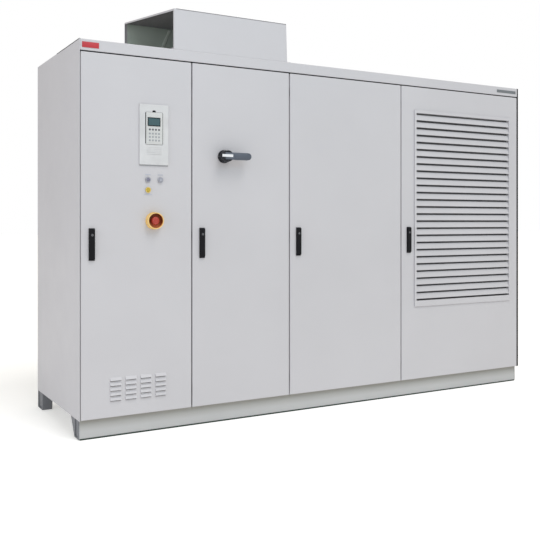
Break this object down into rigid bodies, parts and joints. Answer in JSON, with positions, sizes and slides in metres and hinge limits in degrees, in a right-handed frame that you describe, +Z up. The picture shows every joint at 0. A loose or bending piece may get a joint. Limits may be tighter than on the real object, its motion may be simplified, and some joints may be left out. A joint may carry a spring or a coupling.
{
  "type": "variable frequency drive",
  "caption": "Free-standing air-cooled medium-voltage drive cabinet with hinged doors, operator panel, isolator handle, louvred air inlet and a roof exhaust hood",
  "frame": {"origin": "on the floor under the middle of the whole object's bounding box, door handles included", "axes": "+X to the right along the row of doors, seen from in front; +Y from the doors to the rear panel; +Z up"},
  "size_m": [3, 0.97, 2.3155],
  "materials": {
    "body_paint": "satin light grey powder coat",
    "side_paint": "satin light grey powder coat",
    "plinth_paint": "satin grey powder coat",
    "foot_paint": "dark grey paint",
    "galvanised_sheet": "galvanised, dull",
    "bright_steel": "zinc plated",
    "handle_black": "fine-grained black",
    "panel_plastic": "light grey moulding",
    "keypad_case": "light grey moulding",
    "display_glass": "teal-grey display window",
    "key_rubber": "soft keys",
    "contact_block": "grey moulding",
    "cap_dark": "blue-grey cap",
    "cap_light": "pale grey cap",
    "cap_yellow": "yellow cap",
    "estop_yellow": "yellow moulding",
    "estop_red": "red moulding",
    "isolator_black": "black moulding",
    "isolator_slate": "slate-grey moulding",
    "switch_moulding": "dark grey moulding",
    "filter_fleece": "dark filter fleece",
    "impeller_black": "black moulding",
    "motor_grey": "dark grey paint",
    "module_grey": "grey modules on a zinc plate",
    "terminal_beige": "beige terminal blocks",
    "heat_sink": "extruded, satin",
    "capacitor_can": "drawn cans",
    "reactor_core": "varnished core and coils"
  },
  "bodies": {
    "cabinet": {"control_plate": "module_grey", "dc_link_bank": "capacitor_can", "exhaust_hood": "body_paint", "fan_housing": "galvanised_sheet", "fan_motor": "motor_grey", "fascia": "body_paint", "filter_reactor": "reactor_core", "floor_plate": "galvanised_sheet", "foot_front_left": "foot_paint", "foot_front_right": "foot_paint", "foot_rear_left": "foot_paint", "foot_rear_right": "foot_paint", "front_frame": "galvanised_sheet", "hinge_rod_control": "bright_steel", "hinge_rod_filter": "bright_steel", "hinge_rod_inverter": "bright_steel", "hinge_rod_isolator": "bright_steel", "inverter_stack": "heat_sink", "isolator_switch": "switch_moulding", "partition_control": "galvanised_sheet", "partition_power": "galvanised_sheet", "plinth_front": "plinth_paint", "rear_panel": "side_paint", "rectifier_stack": "heat_sink", "roof_panel": "body_paint", "side_panel_left": "side_paint", "side_panel_right": "side_paint", "terminal_strip": "terminal_beige"},
    "door_control": {"door_control": "body_paint", "handle_plate_control": "handle_black", "panel_bezel": "panel_plastic", "pushbutton_block": "contact_block", "estop_collar": "estop_yellow"},
    "door_isolator": {"door_isolator": "body_paint", "handle_plate_isolator": "handle_black", "isolator_base": "isolator_black"},
    "door_inverter": {"door_inverter": "body_paint", "handle_plate_inverter": "handle_black"},
    "door_filter": {"door_filter": "body_paint", "handle_plate_filter": "handle_black", "inlet_grille": "body_paint", "inlet_filter_mat": "filter_fleece"},
    "handle_control": {"handle_lever_control": "handle_black"},
    "lock_bar_control": {"lock_bar_control": "bright_steel"},
    "handle_isolator": {"handle_lever_isolator": "handle_black"},
    "lock_bar_isolator": {"lock_bar_isolator": "bright_steel"},
    "handle_inverter": {"handle_lever_inverter": "handle_black"},
    "lock_bar_inverter": {"lock_bar_inverter": "bright_steel"},
    "handle_filter": {"handle_lever_filter": "handle_black"},
    "lock_bar_filter": {"lock_bar_filter": "bright_steel"},
    "control_panel": {"control_panel": "keypad_case", "panel_display": "display_glass", "panel_keypad": "key_rubber"},
    "pushbutton_left": {"pushbutton_left": "cap_dark"},
    "pushbutton_right": {"pushbutton_right": "cap_light"},
    "pushbutton_yellow": {"pushbutton_yellow": "cap_yellow"},
    "estop_mushroom": {"estop_mushroom": "estop_red"},
    "isolator_handle": {"isolator_handle": "isolator_slate"},
    "isolator_shaft": {"isolator_shaft": "bright_steel"},
    "fan_impeller": {"fan_impeller": "impeller_black"}
  },
  "joints": [
    {"name": "door_control_hinge", "type": "hinge", "parent": "cabinet", "child": "door_control", "pos_m": [-0.91, -0.408, 1.02], "axis": [0, 0, 1], "range_deg": [0, 110]},
    {"name": "door_isolator_hinge", "type": "hinge", "parent": "cabinet", "child": "door_isolator", "pos_m": [-0.31, -0.408, 1.02], "axis": [0, 0, 1], "range_deg": [0, 110]},
    {"name": "door_inverter_hinge", "type": "hinge", "parent": "cabinet", "child": "door_inverter", "pos_m": [0.49, -0.408, 1.02], "axis": [0, 0, 1], "range_deg": [0, 110]},
    {"name": "door_filter_hinge", "type": "hinge", "parent": "cabinet", "child": "door_filter", "pos_m": [1.486, -0.408, 1.02], "axis": [0, 0, 1], "range_deg": [0, 110]},
    {"name": "handle_control_turn", "type": "hinge", "parent": "door_control", "child": "handle_control", "pos_m": [-1.439, -0.415, 0.924], "axis": [0, -1, 0], "range_deg": [0, 90]},
    {"name": "lock_bar_control_slide", "type": "slide", "parent": "door_control", "child": "lock_bar_control", "axis": [0, 0, -1], "range_m": [0, 0.0173]},
    {"name": "handle_isolator_turn", "type": "hinge", "parent": "door_isolator", "child": "handle_isolator", "pos_m": [-0.8425, -0.415, 0.924], "axis": [0, -1, 0], "range_deg": [0, 90]},
    {"name": "lock_bar_isolator_slide", "type": "slide", "parent": "door_isolator", "child": "lock_bar_isolator", "axis": [0, 0, -1], "range_m": [0, 0.0173]},
    {"name": "handle_inverter_turn", "type": "hinge", "parent": "door_inverter", "child": "handle_inverter", "pos_m": [-0.2425, -0.415, 0.924], "axis": [0, -1, 0], "range_deg": [0, 90]},
    {"name": "lock_bar_inverter_slide", "type": "slide", "parent": "door_inverter", "child": "lock_bar_inverter", "axis": [0, 0, -1], "range_m": [0, 0.0173]},
    {"name": "handle_filter_turn", "type": "hinge", "parent": "door_filter", "child": "handle_filter", "pos_m": [0.5575, -0.415, 0.924], "axis": [0, -1, 0], "range_deg": [0, 90]},
    {"name": "lock_bar_filter_slide", "type": "slide", "parent": "door_filter", "child": "lock_bar_filter", "axis": [0, 0, -1], "range_m": [0, 0.0173]},
    {"name": "control_panel_unclip", "type": "slide", "parent": "door_control", "child": "control_panel", "axis": [0, -1, 0], "range_m": [0, 0.04]},
    {"name": "pushbutton_left_press", "type": "slide", "parent": "door_control", "child": "pushbutton_left", "axis": [0, 1, 0], "range_m": [0, 0.004], "stiffness_N_per_m": 500, "springref_m": -0.002},
    {"name": "pushbutton_right_press", "type": "slide", "parent": "door_control", "child": "pushbutton_right", "axis": [0, 1, 0], "range_m": [0, 0.004], "stiffness_N_per_m": 500, "springref_m": -0.002},
    {"name": "pushbutton_yellow_press", "type": "slide", "parent": "door_control", "child": "pushbutton_yellow", "axis": [0, 1, 0], "range_m": [0, 0.004], "stiffness_N_per_m": 500, "springref_m": -0.002},
    {"name": "estop_press", "type": "slide", "parent": "door_control", "child": "estop_mushroom", "axis": [0, 1, 0], "range_m": [0, 0.005]},
    {"name": "isolator_turn", "type": "hinge", "parent": "door_isolator", "child": "isolator_handle", "pos_m": [-0.7145, -0.415, 1.448], "axis": [0, 1, 0], "range_deg": [0, 90]},
    {"name": "isolator_shaft_turn", "type": "hinge", "parent": "cabinet", "child": "isolator_shaft", "pos_m": [-0.7145, -0.315, 1.448], "axis": [0, 1, 0], "range_deg": [0, 90]},
    {"name": "fan_spin", "type": "hinge", "parent": "cabinet", "child": "fan_impeller", "pos_m": [-0.6, 0.02, 1.92], "axis": [0, 0, 1], "continuous": true}
  ],
  "couplings": [
    {"joint": "lock_bar_control_slide", "follows": "handle_control_turn", "m_per_rad": 0.011},
    {"joint": "lock_bar_isolator_slide", "follows": "handle_isolator_turn", "m_per_rad": 0.011},
    {"joint": "lock_bar_inverter_slide", "follows": "handle_inverter_turn", "m_per_rad": 0.011},
    {"joint": "lock_bar_filter_slide", "follows": "handle_filter_turn", "m_per_rad": 0.011},
    {"joint": "isolator_shaft_turn", "follows": "isolator_turn", "ratio": 1}
  ]
}
